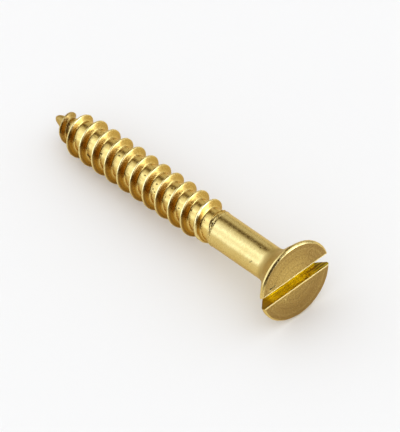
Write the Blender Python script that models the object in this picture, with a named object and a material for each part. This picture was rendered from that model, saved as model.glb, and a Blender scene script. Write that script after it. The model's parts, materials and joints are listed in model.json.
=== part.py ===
"""Slotted countersunk wood screw, number 8 by 1 1/4 inch, made of brass.

The screw is one piece of metal: the head, the plain shank, the rolled thread and the
point are all formed on the same wire. It lies along X with its head at +X and its
point at -X. The origin is on the screw's axis, half way along it. The driver slot
runs along Y.
"""

import math

import bmesh
import bpy

MM = 0.001

# Driving dimensions.
LENGTH = 32.0 * MM
THREAD_DIAMETER = 4.115 * MM
THREADS_PER_INCH = 15
ROOT_DIAMETER = 2.915 * MM
SHANK_DIAMETER = 3.28 * MM
HEAD_DIAMETER = 7.86 * MM
HEAD_ANGLE = math.radians(90)
SLOT_WIDTH = 1.28 * MM
SLOT_DEPTH = 1.2 * MM

# The head: a turned edge, a thin upright rim, a cone and a fillet into the shank.
EDGE_CHAMFER = 0.15 * MM
RIM_HEIGHT = 0.2 * MM
NECK_FILLET_RADIUS = 2.2 * MM
NECK_FILLET_STEPS = 3

# The shank ends in a short step down to the root of the thread. The step isn't square to
# the axis: it lies nearest to the head at one angle, and furthest on the opposite side.
STEP_TOP_DEPTH = 10.05 * MM
STEP_DROP_LENGTH = 0.32 * MM
STEP_LEAN = 0.4 * MM
STEP_HIGH_TURNS = 0.43

# The thread: a ridge with a narrow flat crest, wound right-handed round the root. Its
# flank on the head's side slopes more than its flank on the point's side.
PITCH = 25.4 * MM / THREADS_PER_INCH
HEAD_FLANK_ANGLE = math.radians(28)
POINT_FLANK_ANGLE = math.radians(14)
CREST_WIDTH = 0.12 * MM
CREST_DEPTH_AT_ZERO = 10.442 * MM
RUN_OUT_START = 11.7 * MM
RUN_OUT_END = 10.3 * MM

# The point: root and crest both taper, the crest faster, and the root ends in a blunt nose.
TAPER_START_DEPTH = 28.15 * MM
NOSE_DEPTH = 31.5 * MM
NOSE_RADIUS = 0.41 * MM
NOSE_BEND_DEPTH = 31.86 * MM
NOSE_BEND_RADIUS = 0.29 * MM
NOSE_STEPS = 4
CREST_TAPER = 0.356
RUN_IN_START = 31.3 * MM
RUN_IN_END = 30.7 * MM

# Mesh steps.
COLUMNS = 40
ROWS_PER_TURN = 5
ROW_CLEARANCE = 0.06 * MM
LOWEST_RIDGE = 0.03 * MM
SMOOTH_ANGLE = math.radians(30)

BRASS_COLOUR = (0.72, 0.52, 0.22, 1.0)
BRASS_ROUGHNESS = 0.32

HEAD_RADIUS = HEAD_DIAMETER / 2
SHANK_RADIUS = SHANK_DIAMETER / 2
ROOT_RADIUS = ROOT_DIAMETER / 2
RIDGE_HEIGHT = (THREAD_DIAMETER - ROOT_DIAMETER) / 2


def clear_scene():
    for thing in list(bpy.data.objects):
        bpy.data.objects.remove(thing, do_unlink=True)


def ramp(value, start, end):
    """Return 0 at start, 1 at end and a straight line between."""
    return min(1.0, max(0.0, (value - start) / (end - start)))


def head_rings(turns):
    """Return (depth, radius) of each ring from the face's edge to the foot of the step.

    Depth is measured from the head's face towards the point. turns is the angle round
    the axis, which only the leaning step depends on.
    """
    slope = math.tan(HEAD_ANGLE / 2)
    rim_end = EDGE_CHAMFER + RIM_HEIGHT
    cone_end = rim_end + (HEAD_RADIUS - SHANK_RADIUS) / slope
    rings = [
        (0.0, HEAD_RADIUS - EDGE_CHAMFER),
        (EDGE_CHAMFER, HEAD_RADIUS),
        (rim_end, HEAD_RADIUS),
    ]
    # The fillet's arc touches the cone first and the shank last.
    centre_depth = cone_end + NECK_FILLET_RADIUS * math.tan(HEAD_ANGLE / 4)
    centre_radius = SHANK_RADIUS + NECK_FILLET_RADIUS
    for step in range(NECK_FILLET_STEPS + 1):
        turn = HEAD_ANGLE / 2 * (1 - step / NECK_FILLET_STEPS)
        rings.append((
            centre_depth - NECK_FILLET_RADIUS * math.sin(turn),
            centre_radius - NECK_FILLET_RADIUS * math.cos(turn),
        ))
    step_depth = STEP_TOP_DEPTH - STEP_LEAN * math.cos(2 * math.pi * (turns - STEP_HIGH_TURNS))
    rings.append((step_depth, SHANK_RADIUS))
    rings.append((step_depth + STEP_DROP_LENGTH, ROOT_RADIUS))
    return rings


def nose_rings():
    """Return (depth, radius) of each ring on the rounded end, widest first.

    The rings lie on a curve from the end of the taper to the tip, pulled towards the bend.
    """
    rings = []
    for step in range(NOSE_STEPS):
        part = step / NOSE_STEPS
        start, bend, end = (1 - part) ** 2, 2 * part * (1 - part), part ** 2
        depth = start * NOSE_DEPTH + bend * NOSE_BEND_DEPTH + end * LENGTH
        rings.append((depth, start * NOSE_RADIUS + bend * NOSE_BEND_RADIUS))
    return rings


def core_radius(depth):
    """Return the radius under the thread, which tapers at the point."""
    taper = ramp(depth, TAPER_START_DEPTH, NOSE_DEPTH)
    return ROOT_RADIUS + (NOSE_RADIUS - ROOT_RADIUS) * taper


def ridge_profile(height):
    """Return (offset, height) of each row of one thread, for a ridge cut off at a height.

    A lower ridge has the same flanks and base, and so a wider flat crest. The last of the
    ROWS_PER_TURN rows lies in the middle of the root.
    """
    lost = RIDGE_HEIGHT - height
    head_foot = CREST_WIDTH / 2 + RIDGE_HEIGHT * math.tan(HEAD_FLANK_ANGLE)
    point_foot = CREST_WIDTH / 2 + RIDGE_HEIGHT * math.tan(POINT_FLANK_ANGLE)
    return [
        (-head_foot, 0.0),
        (-CREST_WIDTH / 2 - lost * math.tan(HEAD_FLANK_ANGLE), height),
        (CREST_WIDTH / 2 + lost * math.tan(POINT_FLANK_ANGLE), height),
        (point_foot, 0.0),
        (PITCH / 2, 0.0),
    ]


def ridge_height(crest_depth):
    """Return the ridge's height, which falls along the point and fades at both ends."""
    crest_radius = ROOT_RADIUS + RIDGE_HEIGHT
    crest_radius -= CREST_TAPER * max(0.0, crest_depth - TAPER_START_DEPTH)
    full_height = crest_radius - core_radius(crest_depth)
    run_out = ramp(crest_depth, RUN_OUT_END, RUN_OUT_START)
    run_in = ramp(crest_depth, RUN_IN_START, RUN_IN_END)
    return LOWEST_RIDGE + (full_height - LOWEST_RIDGE) * run_out * run_in


def thread_rows(turns, first_depth):
    """Return (row number, depth, radius) for each row that crosses a column, head end first.

    turns is the column's angle in turns, and first_depth is where its step ends. Each row
    is a helix, so it lies nearer to the head as the angle grows.
    """
    last_depth = NOSE_DEPTH - ROW_CLEARANCE
    wraps = math.ceil(LENGTH / PITCH)
    rows = []
    for wrap in range(-wraps, wraps):
        crest_depth = CREST_DEPTH_AT_ZERO + PITCH * (wrap - turns)
        for number, (offset, height) in enumerate(ridge_profile(ridge_height(crest_depth))):
            depth = crest_depth + offset
            if first_depth < depth < last_depth:
                rows.append((wrap * ROWS_PER_TURN + number, depth, core_radius(depth) + height))
    return rows


def add_vertex(mesh, turns, depth, radius):
    angle = 2 * math.pi * turns
    x = LENGTH / 2 - depth
    return mesh.verts.new((x, radius * math.cos(angle), radius * math.sin(angle)))


def add_column(mesh, turns):
    """Add one column of vertices, head to point, and return them as (key, vertex) pairs."""
    column = []
    rings = head_rings(turns)
    for number, (depth, radius) in enumerate(rings):
        column.append((("head", number), add_vertex(mesh, turns, depth, radius)))
    for number, depth, radius in thread_rows(turns, rings[-1][0] + ROW_CLEARANCE):
        column.append((("thread", number), add_vertex(mesh, turns, depth, radius)))
    for number, (depth, radius) in enumerate(nose_rings()):
        column.append((("nose", number), add_vertex(mesh, turns, depth, radius)))
    return column


def wound_on(column):
    """Return the first column's keys as the last column meets them, one turn further on."""
    moved = []
    for (zone, number), vertex in column:
        if zone == "thread":
            number += ROWS_PER_TURN
        moved.append(((zone, number), vertex))
    return moved


def join_columns(mesh, left, right):
    """Fill the strip between two columns, with a face between each pair of shared rows."""
    left_place = {key: place for place, (key, _) in enumerate(left)}
    right_place = {key: place for place, (key, _) in enumerate(right)}
    shared = [key for key, _ in left if key in right_place]
    for near, far in zip(shared, shared[1:]):
        left_side = [vertex for _, vertex in left[left_place[near]:left_place[far] + 1]]
        right_side = [vertex for _, vertex in right[right_place[near]:right_place[far] + 1]]
        mesh.faces.new(left_side + right_side[::-1])


def cap_end(mesh, rim, depth):
    """Close a ring of vertices with a fan round a point on the axis."""
    centre = mesh.verts.new((LENGTH / 2 - depth, 0.0, 0.0))
    for start, end in zip(rim, rim[1:] + rim[:1]):
        mesh.faces.new((centre, start, end))


def make_object(name, mesh):
    bmesh.ops.recalc_face_normals(mesh, faces=mesh.faces)
    data = bpy.data.meshes.new(name)
    mesh.to_mesh(data)
    mesh.free()
    thing = bpy.data.objects.new(name, data)
    bpy.context.scene.collection.objects.link(thing)
    return thing


def make_blank():
    """Build the unslotted screw as one closed surface of columns."""
    mesh = bmesh.new()
    columns = [add_column(mesh, index / COLUMNS) for index in range(COLUMNS)]
    for left, right in zip(columns, columns[1:] + [wound_on(columns[0])]):
        join_columns(mesh, left, right)
    cap_end(mesh, [column[0][1] for column in columns], 0.0)
    cap_end(mesh, [column[-1][1] for column in columns], LENGTH)
    return make_object("wood_screw", mesh)


def make_slot_cutter():
    """Build the box that cuts the driver slot right across the head."""
    mesh = bmesh.new()
    bmesh.ops.create_cube(mesh, size=1.0)
    bmesh.ops.scale(mesh, vec=(2 * SLOT_DEPTH, 2 * HEAD_DIAMETER, SLOT_WIDTH), verts=mesh.verts)
    bmesh.ops.translate(mesh, vec=(LENGTH / 2, 0.0, 0.0), verts=mesh.verts)
    cutter = make_object("slot_cutter", mesh)
    cutter.hide_render = True
    cutter.display_type = "WIRE"
    return cutter


def make_brass():
    brass = bpy.data.materials.new("brass")
    brass.use_nodes = True
    shader = brass.node_tree.nodes["Principled BSDF"]
    shader.inputs["Base Color"].default_value = BRASS_COLOUR
    shader.inputs["Roughness"].default_value = BRASS_ROUGHNESS
    shader.inputs["Metallic"].default_value = 1.0
    return brass


def make_screw():
    screw = make_blank()
    cut = screw.modifiers.new("driver_slot", "BOOLEAN")
    cut.operation = "DIFFERENCE"
    cut.solver = "EXACT"
    cut.object = make_slot_cutter()
    screw.data.materials.append(make_brass())
    screw.data.shade_smooth()
    screw.data.set_sharp_from_angle(angle=SMOOTH_ANGLE)


clear_scene()
make_screw()
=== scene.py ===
"""Finished model of the brass wood screw, its floor, light and camera.

Everything is in metres in the row's frame: the screw lies along X with its head at +X,
and the driver slot runs along Y. "Depth" is the distance below the face of the head,
measured towards the point, and "turns" is an angle round the axis from +Y towards +Z.
"""

import json
import math
import random

import bmesh
import bpy
from mathutils import Matrix, Vector, kdtree, noise


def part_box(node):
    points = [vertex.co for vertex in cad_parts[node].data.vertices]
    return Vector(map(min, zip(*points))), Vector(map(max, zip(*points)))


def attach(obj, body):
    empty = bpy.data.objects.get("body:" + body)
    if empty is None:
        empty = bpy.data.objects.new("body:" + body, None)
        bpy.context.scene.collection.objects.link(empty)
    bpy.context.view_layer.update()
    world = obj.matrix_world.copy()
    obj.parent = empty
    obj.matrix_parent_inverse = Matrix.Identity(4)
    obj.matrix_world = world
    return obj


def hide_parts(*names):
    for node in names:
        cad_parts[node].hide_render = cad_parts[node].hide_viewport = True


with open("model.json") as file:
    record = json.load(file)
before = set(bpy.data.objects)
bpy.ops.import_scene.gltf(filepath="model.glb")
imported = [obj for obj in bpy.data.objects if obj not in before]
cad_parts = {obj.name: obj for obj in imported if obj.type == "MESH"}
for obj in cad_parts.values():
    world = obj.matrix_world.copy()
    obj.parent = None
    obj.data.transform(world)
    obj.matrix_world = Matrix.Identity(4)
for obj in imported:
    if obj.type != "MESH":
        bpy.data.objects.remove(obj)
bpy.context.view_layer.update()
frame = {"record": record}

MM = 0.001
NODE = "wood_screw"

# Sizes read from the frame.
BOX_LOW, BOX_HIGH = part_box(NODE)
FACE_X = BOX_HIGH[0]
LENGTH = BOX_HIGH[0] - BOX_LOW[0]
HEAD_RADIUS = BOX_HIGH[2]
MOUNTS = {mount["name"]: mount for mount in frame["record"]["mounts"]}
SLOT_DEPTH = FACE_X - MOUNTS["slot_floor"]["pos_m"][0]

# The other sizes of the same screw. The cone's angle is measured from the axis. The crest
# is a little wider than in the CAD and its flanks steeper, since its corners are rounded.
SLOT_WIDTH = 1.28 * MM
SHANK_RADIUS = 1.64 * MM
ROOT_RADIUS = 1.4575 * MM
RIDGE_HEIGHT = 0.6 * MM
PITCH = 25.4 * MM / 15
CONE_ANGLE = math.radians(45)
NECK_FILLET_RADIUS = 2.2 * MM
EDGE_CHAMFER = 0.15 * MM
RIM_HEIGHT = 0.2 * MM
STEP_TOP_DEPTH = 10.08 * MM
STEP_LEAN = 0.4 * MM
STEP_HIGH_TURNS = 0.43
CREST_WIDTH = 0.15 * MM
CREST_TAPER = 0.356
HEAD_FLANK_ANGLE = math.radians(27)
POINT_FLANK_ANGLE = math.radians(12)
CREST_DEPTH_AT_ZERO = 10.442 * MM
RUN_OUT_START = 11.7 * MM
RUN_OUT_END = 10.3 * MM
RUN_IN_START = 31.3 * MM
RUN_IN_END = 30.7 * MM
TAPER_START_DEPTH = 28.15 * MM
NOSE_DEPTH = 31.5 * MM
NOSE_RADIUS = 0.41 * MM
NOSE_BEND = (31.86 * MM, 0.29 * MM)

CONE_END = EDGE_CHAMFER + RIM_HEIGHT + (HEAD_RADIUS - SHANK_RADIUS) / math.tan(CONE_ANGLE)
NECK_END = CONE_END + NECK_FILLET_RADIUS * math.tan(CONE_ANGLE / 2)

# Mesh steps, and the gaps between one run of rings and the next.
COLUMNS = 156
FACE_STEP = 0.08 * MM
CONE_STEP = 0.12 * MM
NECK_STEPS = 12
SHANK_STEP = 0.14 * MM
ROOT_STEP = 0.085 * MM
NOSE_STEPS = 8
RING_GAP = 0.04 * MM
CONE_START_GAP = 0.06 * MM
SHANK_START_GAP = 0.1 * MM
ROW_CLEARANCE = 0.02 * MM

# Rounded corners: how far each reaches from its corner, and its steps.
FACE_CORNER = (0.025 * MM, 3)
RIM_CORNER = (0.035 * MM, 4)
CONE_CORNER = (0.05 * MM, 4)
CREST_CORNER = (0.03 * MM, 3)
FOOT_CORNER = (0.08 * MM, 4)

# Points that lie closer together than this are one point.
WELD_REACH = 0.0005 * MM


def ramp(value, start, end):
    """Return 0 at start, 1 at end and a straight line between."""
    return min(1.0, max(0.0, (value - start) / (end - start)))


def smooth_ramp(value, start, end):
    """Return 0 at start, 1 at end and an S curve between."""
    part = ramp(value, start, end)
    return part * part * (3 - 2 * part)


def steps_between(start, end, step):
    """Return evenly spaced values after start, up to end, no further apart than step."""
    count = math.ceil(abs(end - start) / step)
    return [start + (end - start) * number / count for number in range(1, count + 1)]


def rounded_corner(before, corner, after, reach, steps):
    """Return points on a curve that leaves a corner out, from one side to the other."""
    corner = Vector(corner)
    start = corner + (Vector(before) - corner).normalized() * reach
    end = corner + (Vector(after) - corner).normalized() * reach
    points = []
    for step in range(steps + 1):
        part = step / steps
        points.append(tuple(start.lerp(corner, part).lerp(corner.lerp(end, part), part)))
    return points


def point_on(depth, radius, turns):
    """Return the point at a depth, a radius and an angle in turns."""
    angle = 2 * math.pi * turns
    return Vector((FACE_X - depth, radius * math.cos(angle), radius * math.sin(angle)))


def unevenness(depth, radius, turns, size, seed):
    """Return a smooth random value from about -1 to 1 whose lumps are of one size."""
    return noise.noise(point_on(depth, radius, turns) / size + Vector((seed, seed, seed)))


# ---------------------------------------------------------------- the screw's surface

# How much the chamfer's width varies, as a part of it, and the size of its lumps.
CHAMFER_WANDER = 0.16
CHAMFER_LUMP = 0.35 * MM


def face_rings():
    """Rings on the flat face, from near its centre to inside the widest chamfer."""
    edge = HEAD_RADIUS - EDGE_CHAMFER * (1 + CHAMFER_WANDER) - RING_GAP
    return [(0.0, radius) for radius in steps_between(0.0, edge, FACE_STEP)]


def rim_rings(turns):
    """Rings over the uneven chamfer and down the upright rim, with softened corners."""
    wander = CHAMFER_WANDER * unevenness(0.0, HEAD_RADIUS, turns, CHAMFER_LUMP, seed=3.0)
    chamfer = EDGE_CHAMFER * (1 + wander)
    rim_end = EDGE_CHAMFER + RIM_HEIGHT
    face_edge = (0.0, HEAD_RADIUS - chamfer)
    rim_top = (chamfer, HEAD_RADIUS)
    rim_foot = (rim_end, HEAD_RADIUS)
    cone = (rim_end + RIM_HEIGHT, HEAD_RADIUS - RIM_HEIGHT * math.tan(CONE_ANGLE))
    rings = rounded_corner((0.0, 0.0), face_edge, rim_top, *FACE_CORNER)
    rings += rounded_corner(face_edge, rim_top, rim_foot, *RIM_CORNER)
    rings += rounded_corner(rim_top, rim_foot, cone, *CONE_CORNER)
    return rings


def cone_and_neck_rings():
    """Rings down the cone and round the fillet into the shank."""
    slope = math.tan(CONE_ANGLE)
    rim_end = EDGE_CHAMFER + RIM_HEIGHT
    neck_start = NECK_END - NECK_FILLET_RADIUS * math.sin(CONE_ANGLE)
    rings = []
    for depth in steps_between(rim_end + CONE_START_GAP, neck_start - RING_GAP, CONE_STEP):
        rings.append((depth, HEAD_RADIUS - (depth - rim_end) * slope))
    for step in range(NECK_STEPS + 1):
        turn = CONE_ANGLE * (1 - step / NECK_STEPS)
        rings.append((
            NECK_END - NECK_FILLET_RADIUS * math.sin(turn),
            SHANK_RADIUS + NECK_FILLET_RADIUS * (1 - math.cos(turn)),
        ))
    return rings


# The step from the shank to the root has two rough raised lips with a groove between
# them. Each entry is a distance past the lip's top, a rise from the shank, and how
# uneven that ring is, all in mm.
UPPER_LIP = [
    (-0.12, 0.0, 0.0), (-0.07, 0.006, 0.012), (-0.03, 0.032, 0.035), (0.01, 0.032, 0.035),
    (0.05, -0.03, 0.02),
]
LOWER_LIP = [
    (-0.04, -0.045, 0.02), (0.0, -0.01, 0.04), (0.04, -0.015, 0.04), (0.08, -0.09, 0.025),
    (0.13, -0.15, 0.012), (0.19, -0.174, 0.006), (0.26, -0.1825, 0.0),
]
# The rise and the unevenness of the rings in the groove, how many gaps they make, and the
# groove's least and greatest width, in mm.
GROOVE = (-0.065, 0.03)
GROOVE_GAPS = 5
NARROW_GROOVE = 0.12
WIDE_GROOVE = 0.42
# The groove widens and narrows again between these angles, in turns.
GROOVE_WIDENS = (0.0, 0.1)
GROOVE_NARROWS = (0.34, 0.42)
LUMP_SIZE = 0.1 * MM


def step_shape(turns):
    """Return the step's rings in mm, with the groove wide on one side and narrow elsewhere."""
    part = smooth_ramp(turns, *GROOVE_WIDENS) * (1 - smooth_ramp(turns, *GROOVE_NARROWS))
    groove = NARROW_GROOVE + (WIDE_GROOVE - NARROW_GROOVE) * part
    start = UPPER_LIP[-1][0]
    end = groove + LOWER_LIP[0][0]
    rings = list(UPPER_LIP)
    for past in steps_between(start, end, (end - start) / GROOVE_GAPS)[:GROOVE_GAPS - 1]:
        rings.append((past, *GROOVE))
    rings += [(past + groove, rise, rough) for past, rise, rough in LOWER_LIP]
    return rings


def shank_and_step_rings(turns):
    """Rings along the shank and over the step, which isn't square to the axis."""
    lean = -STEP_LEAN * math.cos(2 * math.pi * (turns - STEP_HIGH_TURNS))
    start = NECK_END + SHANK_START_GAP
    shape = step_shape(turns)
    step_start = STEP_TOP_DEPTH + shape[0][0] * MM
    rings = []
    for depth in steps_between(start, step_start - SHANK_STEP, SHANK_STEP):
        rings.append((depth + lean * smooth_ramp(depth, start, step_start), SHANK_RADIUS))
    for past_top, rise, rough in shape:
        depth = STEP_TOP_DEPTH + past_top * MM + lean
        lump = unevenness(depth, SHANK_RADIUS, turns, LUMP_SIZE, seed=7.0)
        rings.append((depth, SHANK_RADIUS + (rise + rough * lump) * MM))
    return rings


def nose_rings():
    """Rings round the blunt end, on a curve pulled towards its bend."""
    start = Vector((NOSE_DEPTH, NOSE_RADIUS))
    bend = Vector(NOSE_BEND)
    end = Vector((LENGTH, 0.0))
    rings = []
    for step in range(NOSE_STEPS):
        part = step / NOSE_STEPS
        rings.append(tuple(start.lerp(bend, part).lerp(bend.lerp(end, part), part)))
    return rings


def core_radius(depth):
    """Return the radius under the thread, which tapers at the point."""
    taper = ramp(depth, TAPER_START_DEPTH, NOSE_DEPTH)
    return ROOT_RADIUS + (NOSE_RADIUS - ROOT_RADIUS) * taper


# Where extra rows lie on a flank, as parts of the way down it.
FLANK_PARTS = (0.2, 0.35, 0.5, 0.65)


def half_ridge(flank_angle):
    """Return (distance from the crest's middle, height) pairs down one flank."""
    crest_edge = (CREST_WIDTH / 2, RIDGE_HEIGHT)
    foot = (CREST_WIDTH / 2 + RIDGE_HEIGHT * math.tan(flank_angle), 0.0)
    beyond = (foot[0] + PITCH / 4, 0.0)
    rows = rounded_corner((0.0, RIDGE_HEIGHT), crest_edge, foot, *CREST_CORNER)
    for part in FLANK_PARTS:
        rows.append(tuple(Vector(crest_edge).lerp(Vector(foot), part)))
    rows += rounded_corner(crest_edge, foot, beyond, *FOOT_CORNER)
    return rows


def ridge_profile():
    """Return (offset, height) of every row of one thread, head side first, in metres."""
    head_side = half_ridge(HEAD_FLANK_ANGLE)
    point_side = half_ridge(POINT_FLANK_ANGLE)
    rows = [(-offset, height) for offset, height in reversed(head_side)]
    rows.append((0.0, RIDGE_HEIGHT))
    rows += point_side
    start = point_side[-1][0]
    end = PITCH - head_side[-1][0]
    rows += [(offset, 0.0) for offset in steps_between(start, end, ROOT_STEP)[:-1]]
    return rows


PROFILE = ridge_profile()


def ridge_height(crest_depth):
    """Return the ridge's height, which falls along the point and fades at both ends."""
    crest_radius = ROOT_RADIUS + RIDGE_HEIGHT
    crest_radius -= CREST_TAPER * max(0.0, crest_depth - TAPER_START_DEPTH)
    run_out = ramp(crest_depth, RUN_OUT_END, RUN_OUT_START)
    run_in = smooth_ramp(crest_depth, RUN_IN_START, RUN_IN_END)
    return (crest_radius - core_radius(crest_depth)) * run_out * run_in


# The crest's height varies this much, in small lumps and in long waves.
CREST_WANDER = 0.012 * MM
CREST_WAVE = 0.7 * MM


def thread_rows(turns, first_depth):
    """Return (row number, depth, radius) for each thread row that crosses a column."""
    last_depth = NOSE_DEPTH - ROW_CLEARANCE
    wraps = math.ceil(LENGTH / PITCH)
    rows = []
    for wrap in range(-wraps, wraps):
        crest_depth = CREST_DEPTH_AT_ZERO + PITCH * (wrap - turns)
        crest_radius = core_radius(crest_depth) + RIDGE_HEIGHT
        top = ridge_height(crest_depth)
        for size, seed in ((LUMP_SIZE, 11.0), (CREST_WAVE, 13.0)):
            top += CREST_WANDER * unevenness(crest_depth, crest_radius, turns, size, seed)
        for number, (offset, height) in enumerate(PROFILE):
            depth = crest_depth + offset
            if first_depth < depth < last_depth:
                radius = core_radius(depth) + max(0.0, min(height, top))
                rows.append((wrap * len(PROFILE) + number, depth, radius))
    return rows


def screw_column(turns):
    """Return (key, position) for each vertex of one column, from the face to the point."""
    rings = face_rings() + rim_rings(turns) + cone_and_neck_rings() + shank_and_step_rings(turns)
    column = [(("head", number), point_on(*ring, turns)) for number, ring in enumerate(rings)]
    for number, depth, radius in thread_rows(turns, rings[-1][0] + ROW_CLEARANCE):
        column.append((("thread", number), point_on(depth, radius, turns)))
    for number, ring in enumerate(nose_rings()):
        column.append((("nose", number), point_on(*ring, turns)))
    return column


def strip_faces(left, right):
    """Return the faces between two columns of (key, vertex index) pairs."""
    right_place = {key: place for place, (key, _) in enumerate(right)}
    shared = [(place, right_place[key]) for place, (key, _) in enumerate(left) if key in right_place]
    faces = []
    for (left_near, right_near), (left_far, right_far) in zip(shared, shared[1:]):
        left_side = [index for _, index in left[left_near:left_far + 1]]
        right_side = [index for _, index in right[right_near:right_far + 1]]
        faces.append(left_side + right_side[::-1])
    return faces


def make_blank():
    """Build the screw without its slot, as one closed surface of columns."""
    points = []
    columns = []
    for index in range(COLUMNS):
        column = []
        for key, point in screw_column(index / COLUMNS):
            column.append((key, len(points)))
            points.append(point)
        columns.append(column)
    # One turn further on, the first column's thread rows are the next thread's rows.
    wound_on = [
        ((zone, number + len(PROFILE) if zone == "thread" else number), index)
        for (zone, number), index in columns[0]
    ]
    faces = []
    for left, right in zip(columns, columns[1:] + [wound_on]):
        faces += strip_faces(left, right)
    for end, depth in ((0, 0.0), (-1, LENGTH)):
        rim = [column[end][1] for column in columns]
        points.append(point_on(depth, 0.0, 0.0))
        faces += [(len(points) - 1, a, b) for a, b in zip(rim, rim[1:] + rim[:1])]
    data = bpy.data.meshes.new("brass_screw")
    data.from_pydata(points, [], faces)
    closed = bmesh.new()
    closed.from_mesh(data)
    bmesh.ops.recalc_face_normals(closed, faces=closed.faces)
    closed.to_mesh(data)
    closed.free()
    screw = bpy.data.objects.new("brass_screw", data)
    bpy.context.scene.collection.objects.link(screw)
    return screw


# ---------------------------------------------------------------- the sawn slot

SLOT_HALF = SLOT_WIDTH / 2
FLOOR_CORNER = 0.05 * MM
BREAK_HEIGHT = 0.05 * MM
BREAK_WIDTH = 0.045 * MM
CUTTER_ABOVE = 0.3 * MM
# The saw's steps along each wall: their spacing, and how much they narrow or widen the slot.
SAW_STEP = 0.055 * MM
SAW_NARROWS = -0.009 * MM
SAW_WIDENS = 0.004 * MM


def slot_outline():
    """Return the slot's cross-section as (height above the floor, half width) points.

    The saw leaves fine steps along the walls, and a small break at the top edge.
    """
    draw = random.Random(8)
    wall_top = SLOT_DEPTH - BREAK_HEIGHT
    outline = [(0.0, SLOT_HALF - FLOOR_CORNER), (FLOOR_CORNER, SLOT_HALF)]
    for height in steps_between(FLOOR_CORNER, wall_top, SAW_STEP)[:-1]:
        outline.append((height, SLOT_HALF + draw.uniform(SAW_NARROWS, SAW_WIDENS)))
    outline.append((wall_top, SLOT_HALF))
    outline.append((SLOT_DEPTH, SLOT_HALF + BREAK_WIDTH))
    # Above the face the cutter goes on at the break's slope.
    above_width = CUTTER_ABOVE * BREAK_WIDTH / BREAK_HEIGHT
    outline.append((SLOT_DEPTH + CUTTER_ABOVE, SLOT_HALF + BREAK_WIDTH + above_width))
    return outline


def make_bar(name, section, reach):
    """Make a closed bar along Y from a cross-section of (x, z) points."""
    mesh = bmesh.new()
    near = [mesh.verts.new((x, -reach, z)) for x, z in section]
    far = [mesh.verts.new((x, reach, z)) for x, z in section]
    mesh.faces.new(near)
    mesh.faces.new(far[::-1])
    for index in range(len(section)):
        after = (index + 1) % len(section)
        mesh.faces.new((near[index], near[after], far[after], far[index]))
    bmesh.ops.recalc_face_normals(mesh, faces=mesh.faces)
    data = bpy.data.meshes.new(name)
    mesh.to_mesh(data)
    mesh.free()
    bar = bpy.data.objects.new(name, data)
    bpy.context.scene.collection.objects.link(bar)
    return bar


def combine(screw, operation, bar):
    """Join a bar to the screw or cut it away, and remove the bar."""
    change = screw.modifiers.new(operation, "BOOLEAN")
    change.operation = operation
    change.solver = "EXACT"
    change.object = bar
    graph = bpy.context.evaluated_depsgraph_get()
    changed = bpy.data.meshes.new_from_object(screw.evaluated_get(graph))
    screw.modifiers.clear()
    screw.data = changed
    bpy.data.objects.remove(bar, do_unlink=True)


# The burr that the saw leaves beside each edge of the slot: (height above the face,
# distance from the slot's wall) points, in mm. It stops short of the face's edge.
BURR = [(-0.031, 0.06), (0.029, 0.083), (0.031, 0.099), (-0.029, 0.157)]
BURR_END_GAP = 0.06 * MM
CUTTER_REACH = 1.2 * HEAD_RADIUS


def cut_slot(head):
    """Saw the slot and raise a burr beside each of its edges."""
    floor_x = FACE_X - SLOT_DEPTH
    outline = slot_outline()
    section = [(floor_x + height, half) for height, half in outline]
    section += [(floor_x + height, -half) for height, half in reversed(outline)]
    combine(head, "DIFFERENCE", make_bar("slot_cutter", section, CUTTER_REACH))
    burr_reach = math.sqrt((HEAD_RADIUS - EDGE_CHAMFER) ** 2 - SLOT_HALF ** 2) - BURR_END_GAP
    for side in (1, -1):
        section = [(FACE_X + up * MM, side * (SLOT_HALF + out * MM)) for up, out in BURR]
        combine(head, "UNION", make_bar("burr", section, burr_reach))


def side_of_neck(point):
    """Return 1 on the head's side of the neck's last ring, -1 beyond it and 0 on it."""
    past = FACE_X - NECK_END - point.x
    return 0 if abs(past) < 2 * WELD_REACH else math.copysign(1, -past)


def slotted(screw):
    """Cut the slot in the head alone, as a closed solid, and weld it back on the shank."""
    head = bpy.data.objects.new("head", screw.data.copy())
    bpy.context.scene.collection.objects.link(head)
    mesh = bmesh.new()
    mesh.from_mesh(screw.data)
    far = [vertex for vertex in mesh.verts if side_of_neck(vertex.co) < 0]
    bmesh.ops.delete(mesh, geom=far, context="VERTS")
    bmesh.ops.holes_fill(mesh, edges=mesh.edges, sides=0)
    mesh.to_mesh(head.data)
    mesh.free()
    cut_slot(head)
    mesh = bmesh.new()
    mesh.from_mesh(screw.data)
    near = [vertex for vertex in mesh.verts if side_of_neck(vertex.co) > 0]
    bmesh.ops.delete(mesh, geom=near, context="VERTS")
    mesh.from_mesh(head.data)
    cap = [face for face in mesh.faces if all(side_of_neck(v.co) == 0 for v in face.verts)]
    bmesh.ops.delete(mesh, geom=cap, context="FACES_ONLY")
    bmesh.ops.remove_doubles(mesh, verts=mesh.verts, dist=WELD_REACH)
    mesh.to_mesh(screw.data)
    mesh.free()
    bpy.data.objects.remove(head, do_unlink=True)


# ---------------------------------------------------------------- materials

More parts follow.
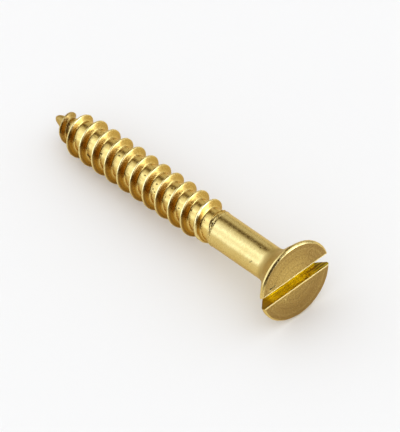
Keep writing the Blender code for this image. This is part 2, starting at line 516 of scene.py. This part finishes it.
class Nodes:
    """A short way to add and join a material's or a world's nodes."""

    def __init__(self, tree):
        self.tree = tree
        tree.nodes.clear()

    def add(self, kind, settings=None, **inputs):
        """Add a node with its settings and inputs."""
        node = self.tree.nodes.new("ShaderNode" + kind)
        for name, value in (settings or {}).items():
            setattr(node, name, value)
        for name, value in inputs.items():
            self.feed(node.inputs[name.replace("_", " ")], value)
        return node

    def feed(self, socket, value):
        """Link a socket to a value that is a socket, or set it to any other value."""
        if isinstance(value, bpy.types.NodeSocket):
            self.tree.links.new(value, socket)
        else:
            socket.default_value = value

    def math(self, operation, *values):
        """Work out one number from others."""
        node = self.add("Math", {"operation": operation})
        for place, value in enumerate(values):
            self.feed(node.inputs[place], value)
        return node.outputs[0]

    def mix(self, part, first, second):
        """Mix two colours."""
        node = self.add("Mix", {"data_type": "RGBA"})
        self.feed(node.inputs[0], part)
        self.feed(node.inputs[6], first)
        self.feed(node.inputs[7], second)
        return node.outputs[2]

    def band(self, value, low, high, to_low=0.0, to_high=1.0):
        """Map low to high onto to_low to to_high, smoothly, and hold the ends."""
        node = self.add("MapRange", {"interpolation_type": "SMOOTHSTEP"})
        for place, part in enumerate((value, low, high, to_low, to_high)):
            self.feed(node.inputs[place], part)
        return node.outputs[0]

    def toned(self, colour, other, value, low, high, amount=1.0):
        """Mix in some of another colour: none where a value is low, an amount where high."""
        return self.mix(self.band(value, low, high, 0.0, amount), colour, other)

    def noise(self, vector, scale, detail=2.0, roughness=0.5):
        """Return a cloudy random value from 0 to 1 at a position."""
        node = self.add("TexNoise", Vector=vector, Scale=scale, Detail=detail, Roughness=roughness)
        return node.outputs[0]

    def attribute(self, name):
        """Return a value that is stored on the mesh's points."""
        return self.add("Attribute", {"attribute_name": name}).outputs["Fac"]


def new_material(name):
    """Return a material without nodes yet, and the means to add them."""
    material = bpy.data.materials.new(name)
    material.use_nodes = True
    return material, Nodes(material.node_tree)


# Colours of the brass, and the tint of light that grazes it.
BRASS = (0.72, 0.535, 0.18, 1.0)
BRASS_WARM = (0.66, 0.46, 0.13, 1.0)
# Painted highlight: the bright brass that the thread's crest and the burrs beside the slot are painted
# with.
BRASS_HIGHLIGHT = (0.84, 0.67, 0.27, 1.0)
BRASS_ROOT = (0.75, 0.51, 0.13, 1.0)
# Painted shade: the thread's flanks are painted darker and more orange for the shade and warm bounced
# light in its grooves. They are darker still towards -Y, and darkest near their tops there.
FLANK_SHADE = (0.55, 0.34, 0.07, 1.0)
FLANK_LOW_SHADE = (0.41, 0.195, 0.018, 1.0)
BRASS_SHADED = (0.20, 0.10, 0.02, 1.0)
BRASS_DULL = (0.53, 0.37, 0.11, 1.0)
BRASS_BROWN = (0.40, 0.25, 0.07, 1.0)
# Painted reflection: the face is painted lighter round one spot, and darker away from it with tarnish
# and painted shade.
FACE_LIT = (0.62, 0.42, 0.115, 1.0)
FACE_TARNISHED_AND_SHADED = (0.38, 0.235, 0.068, 1.0)
FACE_SPECK = (0.24, 0.14, 0.045, 1.0)
SLOT_GOLD = (0.90, 0.69, 0.045, 1.0)
SLOT_BROWN = (0.33, 0.17, 0.02, 1.0)
PIT_DARK = (0.05, 0.03, 0.012, 1.0)
EDGE_TINT = (0.88, 0.76, 0.56, 1.0)

# Between which depths below the face, in mm, the cone turns dull and bright again, the
# thread's colour sets in, and the point turns brown.
DULL_STARTS = (0.38, 0.5)
DULL_ENDS = (3.5, 2.8)
THREAD_STARTS = (10.0, 10.4)
BROWN_STARTS = (29.0, 30.4)
# Between which y, in mm, the flanks darken with painted shade towards -Y, and then the tops of the
# flanks get more painted shade.
FLANKS_DARKEN = (0.2, -1.2)
FLANK_TOPS_DARKEN = (0.1, -0.6)
# Where the face is painted lightest, as (y, z) in mm, and how far from there it turns to tarnish and
# painted shade. This is a painted reflection of lit and shaded floor on real tarnish.
LIT_SPOT = (-1.0, 1.0)
FACE_DARKENS = (0.7, 5.2)
# Between which y, in mm, the slot's wall gets stripes at one end and darkens at the other.
STRIPES_START = (0.6, 2.8)
SLOT_DARKENS = (-2.1, -2.5)
# How deep in a pit, from 0 to 1, its dirt starts and is full.
DIRT_STARTS = (0.25, 0.8)

# The height of the fine bumps on each finish.
ROLLED_BUMP = 0.006 * MM
TURNED_BUMP = 0.006 * MM
SAWN_BUMP = 0.012 * MM
WORN_BUMP = 0.004 * MM


def millimetres(nodes):
    """Return the position on the screw in millimetres."""
    place = nodes.add("TexCoord").outputs["Object"]
    node = nodes.add("VectorMath", {"operation": "SCALE"})
    nodes.feed(node.inputs[0], place)
    nodes.feed(node.inputs["Scale"], 1 / MM)
    return node.outputs[0]


def stretched(nodes, vector, along_x, along_y, along_z):
    """Return a position scaled by a factor along each axis."""
    node = nodes.add("VectorMath", {"operation": "MULTIPLY"})
    nodes.feed(node.inputs[0], vector)
    nodes.feed(node.inputs[1], (along_x, along_y, along_z))
    return node.outputs[0]


def finish_brass(nodes, colour, roughness, height, bump_size):
    """Make the material's surface out of its colour, roughness and height."""
    bump = nodes.add("Bump", Strength=1.0, Distance=bump_size, Height=height)
    shader = nodes.add(
        "BsdfPrincipled",
        Base_Color=colour,
        Metallic=1.0,
        Roughness=roughness,
        Specular_Tint=EDGE_TINT,
        Normal=bump.outputs[0],
    )
    nodes.add("OutputMaterial", Surface=shader.outputs[0])


def make_rolled_brass():
    """Bright brass of the shank, cone and thread, with mottling and dark pits, painted shade on the
    thread's flanks and a painted highlight on its crest.
    """
    material, nodes = new_material("brass_rolled")
    place = millimetres(nodes)
    axes = nodes.add("SeparateXYZ", Vector=place).outputs
    depth = nodes.math("SUBTRACT", FACE_X / MM, axes["X"])
    blotch = nodes.noise(place, scale=0.9, detail=3.0)
    mottle = nodes.noise(place, scale=5.0, detail=3.0)
    grain = nodes.noise(place, scale=26.0)
    colour = nodes.toned(BRASS, BRASS_WARM, blotch, 0.35, 0.7, 0.45)
    colour = nodes.toned(colour, BRASS_WARM, mottle, 0.5, 0.75, 0.3)
    colour = nodes.toned(colour, BRASS_ROOT, depth, *THREAD_STARTS, 0.8)
    # Painted shade on the thread's flanks, darker towards -Y, and more painted shade near the tops of
    # the flanks there.
    flank_shade = nodes.toned(FLANK_SHADE, FLANK_LOW_SHADE, axes["Y"], *FLANKS_DARKEN)
    colour = nodes.mix(nodes.attribute("flank"), colour, flank_shade)
    darkened = nodes.band(axes["Y"], *FLANK_TOPS_DARKEN, 0.0, 0.7)
    shaded = nodes.math("MULTIPLY", nodes.attribute("high_flank"), darkened)
    colour = nodes.mix(shaded, colour, BRASS_SHADED)
    # Painted highlight: the thread's crest is painted brighter along the crest line.
    colour = nodes.mix(nodes.attribute("crest"), colour, BRASS_HIGHLIGHT)
    dull = nodes.math("MULTIPLY", nodes.band(depth, *DULL_STARTS), nodes.band(depth, *DULL_ENDS))
    colour = nodes.mix(dull, colour, BRASS_DULL)
    colour = nodes.toned(colour, BRASS_BROWN, depth, *BROWN_STARTS, 0.7)
    colour = nodes.toned(colour, PIT_DARK, nodes.attribute("pit"), *DIRT_STARTS)
    polish = nodes.band(mottle, 0.3, 0.7, 0.2, 0.32)
    roughness = nodes.math("MULTIPLY_ADD", dull, 0.22, polish)
    height = nodes.math("MULTIPLY_ADD", grain, 0.35, mottle)
    finish_brass(nodes, colour, roughness, height, ROLLED_BUMP)
    return material


def distance_from(nodes, place, y, z):
    """Return how far a point lies from a line along the screw, in millimetres."""
    flat = stretched(nodes, place, 0.0, 1.0, 1.0)
    node = nodes.add("VectorMath", {"operation": "DISTANCE"})
    nodes.feed(node.inputs[0], flat)
    nodes.feed(node.inputs[1], (0.0, y, z))
    return node.outputs["Value"]


def make_turned_brass():
    """Brass of the head's face: lathe rings, fine grain, and tarnish, with a painted reflection that is
    lighter round one spot and darker away from it.
    """
    material, nodes = new_material("brass_turned")
    place = millimetres(nodes)
    ring_place = nodes.add("CombineXYZ", X=distance_from(nodes, place, 0.0, 0.0)).outputs[0]
    rings = nodes.noise(ring_place, scale=3.2, detail=3.0)
    blotch = nodes.noise(place, scale=0.8, detail=3.0)
    grain = nodes.noise(place, scale=6.0, detail=3.0, roughness=0.75)
    from_lit_spot = nodes.math("MULTIPLY_ADD", blotch, 2.0, distance_from(nodes, place, *LIT_SPOT))
    colour = nodes.toned(FACE_LIT, FACE_TARNISHED_AND_SHADED, from_lit_spot, *FACE_DARKENS)
    colour = nodes.toned(colour, FACE_SPECK, rings, 0.5, 0.62, 0.25)
    colour = nodes.toned(colour, BRASS, rings, 0.45, 0.36, 0.15)
    colour = nodes.toned(colour, FACE_SPECK, grain, 0.5, 0.66, 0.6)
    colour = nodes.toned(colour, BRASS, grain, 0.45, 0.34, 0.25)
    colour = nodes.toned(colour, PIT_DARK, nodes.attribute("pit"), *DIRT_STARTS)
    roughness = nodes.band(grain, 0.3, 0.7, 0.24, 0.36)
    height = nodes.math("MULTIPLY_ADD", rings, 1.2, grain)
    finish_brass(nodes, colour, roughness, height, TURNED_BUMP)
    return material


def make_sawn_brass():
    """Sawn brass of the slot: streaks along the cut, dark at one end and striped at the other."""
    material, nodes = new_material("brass_sawn")
    place = millimetres(nodes)
    along = nodes.add("SeparateXYZ", Vector=place).outputs["Y"]
    streaks = nodes.noise(stretched(nodes, place, 7.0, 0.45, 7.0), scale=1.0, detail=3.0)
    blotch = nodes.noise(place, scale=1.6)
    striped = nodes.band(along, *STRIPES_START, 0.35, 1.0)
    stripes = nodes.math("MULTIPLY", nodes.band(streaks, 0.46, 0.56), striped)
    colour = nodes.toned(SLOT_GOLD, SLOT_BROWN, blotch, 0.35, 0.65, 0.3)
    colour = nodes.mix(stripes, colour, SLOT_BROWN)
    ragged = nodes.math("MULTIPLY_ADD", blotch, 0.8, along)
    colour = nodes.toned(colour, SLOT_BROWN, ragged, *SLOT_DARKENS, 0.8)
    roughness = nodes.band(streaks, 0.3, 0.7, 0.38, 0.55)
    finish_brass(nodes, colour, roughness, streaks, SAWN_BUMP)
    return material


def make_worn_highlit_brass():
    """Bare bright brass of the slot's edges: partly real wear, and partly a painted highlight."""
    material, nodes = new_material("brass_worn_highlit")
    grain = nodes.noise(millimetres(nodes), scale=12.0)
    # Partly painted highlight: the burrs beside the slot are painted brighter than the rest of the
    # brass.
    colour = nodes.toned(BRASS_HIGHLIGHT, BRASS, grain, 0.4, 0.6)
    finish_brass(nodes, colour, 0.35, grain, WORN_BUMP)
    return material


FINISHES = {
    "rolled": make_rolled_brass,
    "turned": make_turned_brass,
    "sawn": make_sawn_brass,
    "worn_highlit": make_worn_highlit_brass,
}
# How far along X or Z a unit normal reaches on the head's face and the slot's floor and wall.
ON_FACE = 0.99
ON_FLOOR = 0.9
ON_WALL = 0.5
SLACK = 0.01 * MM


def finish_of(polygon):
    """Return the name of the finish that one face of the mesh has."""
    x, y, z = polygon.center
    flat = polygon.normal.x > ON_FACE
    floor_or_wall = polygon.normal.x > ON_FLOOR or abs(polygon.normal.z) > ON_WALL
    burr_half = SLOT_HALF + BURR[-1][1] * MM
    beside_slot = SLOT_HALF < abs(z) < burr_half and x > FACE_X - BREAK_HEIGHT - SLACK
    inside_rim = math.hypot(y, z) < HEAD_RADIUS - 2 * EDGE_CHAMFER
    if beside_slot and inside_rim and not flat:
        return "worn_highlit"
    below_face = FACE_X - SLOT_DEPTH - SLACK < x < FACE_X - 2 * WELD_REACH
    if abs(z) < SLOT_HALF + BREAK_WIDTH + SLACK and below_face and floor_or_wall:
        return "sawn"
    if flat and x > FACE_X - SLACK:
        return "turned"
    return "rolled"


def assign_materials(screw):
    """Give the face, the slot, its edges and everything else their own finish."""
    screw.data.materials.clear()
    for make in FINISHES.values():
        screw.data.materials.append(make())
    places = {name: place for place, name in enumerate(FINISHES)}
    for polygon in screw.data.polygons:
        polygon.material_index = places[finish_of(polygon)]


# ---------------------------------------------------------------- pits and knocks

# Named marks. Each runs from one (depth in mm, turns, radius in mm) to another, with a
# width and a depth of cut in mm, and 1 if dirt has filled it or 0 if it is bare.
ROOT = ROOT_RADIUS / MM
SHANK = SHANK_RADIUS / MM
MARKS = [
    # A slit across the root of the third thread, with its lower lip raised.
    ((26.14, 0.482, ROOT), (25.76, 0.507, ROOT), 0.075, 0.11, 1),
    ((26.16, 0.495, ROOT), (25.80, 0.517, ROOT), 0.06, -0.05, 0),
    # A torn hole in the step's groove, and a gap where the step's lower lip ends.
    ((9.96, 0.326, SHANK - 0.06), (9.72, 0.380, SHANK - 0.06), 0.085, 0.13, 1),
    ((9.82, 0.524, SHANK), (9.42, 0.556, SHANK), 0.08, 0.12, 1),
    # Small knocks on the shank.
    ((4.23, 0.263, SHANK), (4.25, 0.268, SHANK), 0.09, 0.035, 1),
    ((4.39, 0.434, SHANK), (4.18, 0.411, SHANK), 0.05, 0.025, 1),
    ((6.25, 0.261, SHANK), (6.27, 0.264, SHANK), 0.06, 0.025, 1),
    ((7.54, 0.264, SHANK), (7.56, 0.268, SHANK), 0.06, 0.02, 1),
    # Two pits on the first thread.
    ((29.90, 0.198, 1.4), (29.93, 0.204, 1.4), 0.1, 0.07, 1),
    ((29.73, 0.260, 1.3), (29.76, 0.268, 1.3), 0.1, 0.07, 1),
    # A nick near the face's edge and a scratch that runs inwards from it.
    ((0.0, 0.441, 3.1), (0.0, 0.438, 3.05), 0.13, 0.07, 1),
    ((0.0, 0.439, 3.08), (0.0, 0.422, 2.5), 0.08, 0.02, 1),
    # A notch in the slot's edge, and two bare scratches across the slot from it.
    ((0.0, 0.163, 0.8), (0.0, 0.170, 0.8), 0.1, 0.1, 1),
    ((0.0, 0.578, 1.85), (0.0, 0.618, 1.85), 0.06, -0.03, 0),
    ((0.0, 0.590, 1.7), (0.0, 0.632, 1.7), 0.05, -0.025, 0),
]
# Round pits on the thread's root, as (depth in mm, turns), and their size and depth of cut.
ROOT_PITS = [
    (12.0, 0.341), (12.8, 0.342), (14.1, 0.398), (15.6, 0.340), (17.3, 0.403), (17.5, 0.325),
    (17.6, 0.385), (19.1, 0.318), (22.7, 0.301), (24.5, 0.389),
]
ROOT_PIT = (0.1 * MM, 0.05 * MM)
# A rough ring of small pits on the flank of the second thread. Its reach is in mm and turns.
ROUGH_PITS = 7
ROUGH_CENTRE = (27.91, 0.19)
ROUGH_REACH = (0.1, 0.02)
ROUGH_RADIUS = 1.86 * MM
ROUGH_PIT = (0.08 * MM, 0.04 * MM)
# Scattered small pits: how many, the ranges of their depths along the screw and sizes in mm,
# and the ranges of their depths of cut, as parts of their size, and of their dirt.
SMALL_PITS = 150
SMALL_PIT_DEPTHS = (10.8, 29.5)
SMALL_PIT_SIZES = (0.05, 0.11)
SMALL_PIT_CUTS = (0.25, 0.5)
SMALL_PIT_DIRT = (0.3, 0.9)
# A mark is a row of pits. This is their spacing, as a part of the mark's length.
MARK_STEP = 0.08


class Surface:
    """The screw's points, with the marks pressed into them so far."""

    def __init__(self, data):
        self.data = data
        self.normals = [vertex.normal.copy() for vertex in data.vertices]
        self.points = [vertex.co.copy() for vertex in data.vertices]
        self.dirt = [0.0] * len(self.points)
        self.tree = kdtree.KDTree(len(self.points))
        for index, point in enumerate(self.points):
            self.tree.insert(point, index)
        self.tree.balance()

    def press(self, centres, size, depth, dirty=1):
        """Press a row of round pits as one groove, no deeper where they overlap.

        Each point notes how deep in the groove it is, for its dirt.
        """
        touched = {}
        for centre in centres:
            for _, index, distance in self.tree.find_range(centre, size):
                part = (1 - (distance / size) ** 2) ** 2
                touched[index] = max(touched.get(index, 0.0), part)
        for index, part in touched.items():
            self.points[index] -= self.normals[index] * depth * part
            self.dirt[index] = max(self.dirt[index], dirty * math.sqrt(part))

    def finish(self):
        """Move the mesh's points, and store how dirty each one is."""
        for point, vertex in zip(self.points, self.data.vertices):
            vertex.co = point
        pit = self.data.attributes.new("pit", "FLOAT", "POINT")
        pit.data.foreach_set("value", self.dirt)


def add_marks(screw):
    """Press the named marks and many small pits into the screw."""
    surface = Surface(screw.data)
    for start, end, width, cut, dirty in MARKS:
        centres = []
        for part in steps_between(0.0, 1.0, MARK_STEP):
            depth, turns, radius = Vector(start).lerp(Vector(end), part)
            centres.append(point_on(depth * MM, radius * MM, turns))
        surface.press(centres, width * MM, cut * MM, dirty)
    for depth, turns in ROOT_PITS:
        surface.press([point_on(depth * MM, core_radius(depth * MM), turns)], *ROOT_PIT)
    for number in range(ROUGH_PITS):
        around = 2 * math.pi * number / ROUGH_PITS
        depth = ROUGH_CENTRE[0] + ROUGH_REACH[0] * math.cos(around)
        turns = ROUGH_CENTRE[1] + ROUGH_REACH[1] * math.sin(around)
        surface.press([point_on(depth * MM, ROUGH_RADIUS, turns)], *ROUGH_PIT)
    draw = random.Random(21)
    for _ in range(SMALL_PITS):
        depth = draw.uniform(*SMALL_PIT_DEPTHS) * MM
        turns = draw.random()
        size = draw.uniform(*SMALL_PIT_SIZES) * MM
        cut = size * draw.uniform(*SMALL_PIT_CUTS)
        dirt = draw.uniform(*SMALL_PIT_DIRT)
        surface.press([point_on(depth, core_radius(depth), turns)], size, cut, dirt)
    surface.finish()


# Where each mark on the thread fades in or out, as parts of the ridge's full height. The
# first four are heights above the root, and the last is a distance below the crest.
FLANK_FOOT = (0.04, 0.2)
FLANK_TOP = (1.0, 0.93)
HIGH_FLANK = (0.45, 0.8)
FULL_THREAD = (0.3, 0.5)
CREST_EDGE = (0.06, 0.01)


def mark_thread(screw):
    """Note which points lie on the thread's flanks, near the top of them, and on its crest."""
    marks = {"flank": [], "high_flank": [], "crest": []}
    for vertex in screw.data.vertices:
        depth = FACE_X - vertex.co.x
        on_thread = depth > RUN_OUT_END
        past_root = math.hypot(vertex.co.y, vertex.co.z) - core_radius(depth)
        height = past_root / RIDGE_HEIGHT
        below_crest = (ridge_height(depth) - past_root) / RIDGE_HEIGHT
        flank = on_thread * smooth_ramp(height, *FLANK_FOOT) * smooth_ramp(height, *FLANK_TOP)
        crest = on_thread * smooth_ramp(height, *FULL_THREAD)
        crest *= smooth_ramp(below_crest, *CREST_EDGE)
        marks["flank"].append(flank)
        marks["high_flank"].append(flank * smooth_ramp(height, *HIGH_FLANK))
        marks["crest"].append(crest)
    for name, values in marks.items():
        attribute = screw.data.attributes.new(name, "FLOAT", "POINT")
        attribute.data.foreach_set("value", values)


# Edges that turn by more than this stay sharp.
SMOOTH_ANGLE = math.radians(38)


def make_screw():
    """Build the whole screw in place of its plain solid."""
    screw = make_blank()
    slotted(screw)
    mark_thread(screw)
    add_marks(screw)
    assign_materials(screw)
    screw.data.shade_smooth()
    screw.data.set_sharp_from_angle(angle=SMOOTH_ANGLE)
    screw.data.update()
    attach(screw, "root")
    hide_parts(NODE)


# ---------------------------------------------------------------- floor, light, camera

FLOOR_HALF = 0.24
PAPER_COLOUR = (0.9, 0.9, 0.9, 1.0)


def make_floor():
    """A pale floor that touches the head's rim and the thread's last full crest."""
    rim_x = FACE_X - EDGE_CHAMFER - RIM_HEIGHT / 2
    crest_x = FACE_X - TAPER_START_DEPTH
    crest_radius = ROOT_RADIUS + RIDGE_HEIGHT
    slope = math.atan2(HEAD_RADIUS - crest_radius, rim_x - crest_x)
    mesh = bmesh.new()
    bmesh.ops.create_grid(mesh, x_segments=1, y_segments=1, size=FLOOR_HALF)
    data = bpy.data.meshes.new("floor")
    mesh.to_mesh(data)
    mesh.free()
    floor = bpy.data.objects.new("floor", data)
    bpy.context.scene.collection.objects.link(floor)
    floor.matrix_world = Matrix.Translation((rim_x, 0.0, -HEAD_RADIUS)) @ Matrix.Rotation(slope, 4, "Y")
    material, nodes = new_material("floor_paper")
    shader = nodes.add("BsdfPrincipled", Base_Color=PAPER_COLOUR, Roughness=0.9)
    nodes.add("OutputMaterial", Surface=shader.outputs[0])
    data.materials.append(material)


# What the brass mirrors: an even glow and soft boxes. Each box is a direction towards
# it, where it is full and where it ends (degrees), and its light.
MIRROR_GLOW = 0.07
MIRROR_BOXES = [
    ((-0.54, -0.66, 0.52), 12, 38, 0.93),
    ((-0.55, -0.82, 0.12), 8, 26, 0.55),
    ((-0.80, -0.16, 0.58), 12, 36, 0.74),
    ((-0.86, -0.50, 0.14), 10, 30, 0.5),
    ((-0.60, -0.12, 0.79), 8, 26, 0.45),
    ((0.74, 0.66, 0.10), 14, 34, 1.7),
    ((0.90, 0.40, 0.15), 14, 30, 3.0),
    ((0.70, 0.42, 0.57), 10, 26, 0.85),
    ((0.20, 0.45, 0.87), 12, 28, 0.6),
    ((-0.60, 0.74, 0.31), 8, 26, 0.45),
    ((-0.94, 0.25, 0.21), 8, 30, 0.43),
    ((-0.15, 0.85, 0.50), 10, 35, 0.65),
]
# The gain and power of red, green and blue, so that bright light is cooler than dim light,
# and the brightness above which it gets no cooler.
MIRROR_TONE = [(1.0, 1.0), (1.08, 1.2), (1.3, 1.65)]
TONE_LIMIT = 1.6
# What lights the paper, in the same terms.
PAPER_GLOW = 1.04
PAPER_BOXES = [
    ((-0.10, -0.70, 0.60), 20, 70, 0.08),
]
PAPER_TONE = [(1.0, 1.0)] * 3
BACKDROP = (0.93, 0.93, 0.93, 1.0)


def sky_patch(nodes, direction, towards, inside, outside):
    """Return 1 inside a round patch of the sky and 0 outside it."""
    dot = nodes.add("VectorMath", {"operation": "DOT_PRODUCT"})
    nodes.feed(dot.inputs[0], direction)
    nodes.feed(dot.inputs[1], Vector(towards).normalized())
    low = math.cos(math.radians(outside))
    high = math.cos(math.radians(inside))
    return nodes.band(dot.outputs["Value"], low, high)


def sky(nodes, direction, glow, boxes, tone):
    """Return a Background of soft boxes on an even glow."""
    light = glow
    for towards, inside, outside, strength in boxes:
        patch = sky_patch(nodes, direction, towards, inside, outside)
        light = nodes.math("MULTIPLY_ADD", patch, strength, light)
    colour = nodes.add("CombineXYZ")
    for channel, (gain, power) in enumerate(tone):
        held = nodes.math("MINIMUM", light, TONE_LIMIT)
        tinted = nodes.math("MULTIPLY", light, nodes.math("POWER", held, power - 1.0))
        nodes.feed(colour.inputs[channel], nodes.math("MULTIPLY", tinted, gain))
    return nodes.add("Background", Color=colour.outputs[0]).outputs[0]


def either(nodes, part, first, second):
    """Mix two shaders."""
    node = nodes.add("MixShader", Fac=part)
    nodes.feed(node.inputs[1], first)
    nodes.feed(node.inputs[2], second)
    return node.outputs[0]


def make_world():
    """Soft studio light: an even sky for the paper, and boxes for the brass to mirror."""
    world = bpy.data.worlds.new("studio")
    bpy.context.scene.world = world
    world.use_nodes = True
    # Light that is sampled on its own has no ray kind, so only rays that miss look it up.
    world.cycles.sampling_method = "NONE"
    nodes = Nodes(world.node_tree)
    direction = nodes.add("TexCoord").outputs["Generated"]
    path = nodes.add("LightPath").outputs
    paper = sky(nodes, direction, PAPER_GLOW, PAPER_BOXES, PAPER_TONE)
    mirror = sky(nodes, direction, MIRROR_GLOW, MIRROR_BOXES, MIRROR_TONE)
    backdrop = nodes.add("Background", Color=BACKDROP).outputs[0]
    before_paper = nodes.math("LESS_THAN", path["Diffuse Depth"], 0.5)
    mirrored = nodes.math("MULTIPLY", path["Is Glossy Ray"], before_paper)
    light = either(nodes, mirrored, paper, mirror)
    nodes.add("OutputWorld", Surface=either(nodes, path["Is Camera Ray"], light, backdrop))


# The camera looks down on the near side of the screw, whose axis runs down to the right.
NEAR_TURNS = 0.3375
VIEW_ANGLE = math.radians(53.35)
AXIS_TILT = math.radians(34.53)
CAMERA_DISTANCE = 1.31
CAMERA_LENS = 1248.8
HEAD_RIGHT_OF_CENTRE = 8.405 * MM
HEAD_BELOW_CENTRE = 5.745 * MM


def make_camera():
    """Aim the camera at the middle of the picture, with the screw's head off to one side."""
    near = 2 * math.pi * NEAR_TURNS
    side = math.sin(VIEW_ANGLE)
    back = Vector((math.cos(VIEW_ANGLE), side * math.cos(near), side * math.sin(near)))
    towards_head = Vector((1.0, 0.0, 0.0))
    along = (towards_head - back * towards_head.dot(back)).normalized()
    across = back.cross(along)
    right = along * math.cos(AXIS_TILT) + across * math.sin(AXIS_TILT)
    up = across * math.cos(AXIS_TILT) - along * math.sin(AXIS_TILT)
    aim = Vector((FACE_X, 0.0, 0.0)) - right * HEAD_RIGHT_OF_CENTRE + up * HEAD_BELOW_CENTRE
    data = bpy.data.cameras.new("camera")
    data.lens = CAMERA_LENS
    data.sensor_width = 36.0
    data.clip_end = 5.0
    camera = bpy.data.objects.new("camera", data)
    bpy.context.scene.collection.objects.link(camera)
    turn = Matrix((right, up, back)).transposed().to_4x4()
    camera.matrix_world = Matrix.Translation(aim + back * CAMERA_DISTANCE) @ turn
    bpy.context.scene.camera = camera


make_screw()
make_floor()
make_world()
make_camera()
bpy.context.scene.view_settings.view_transform = "Standard"
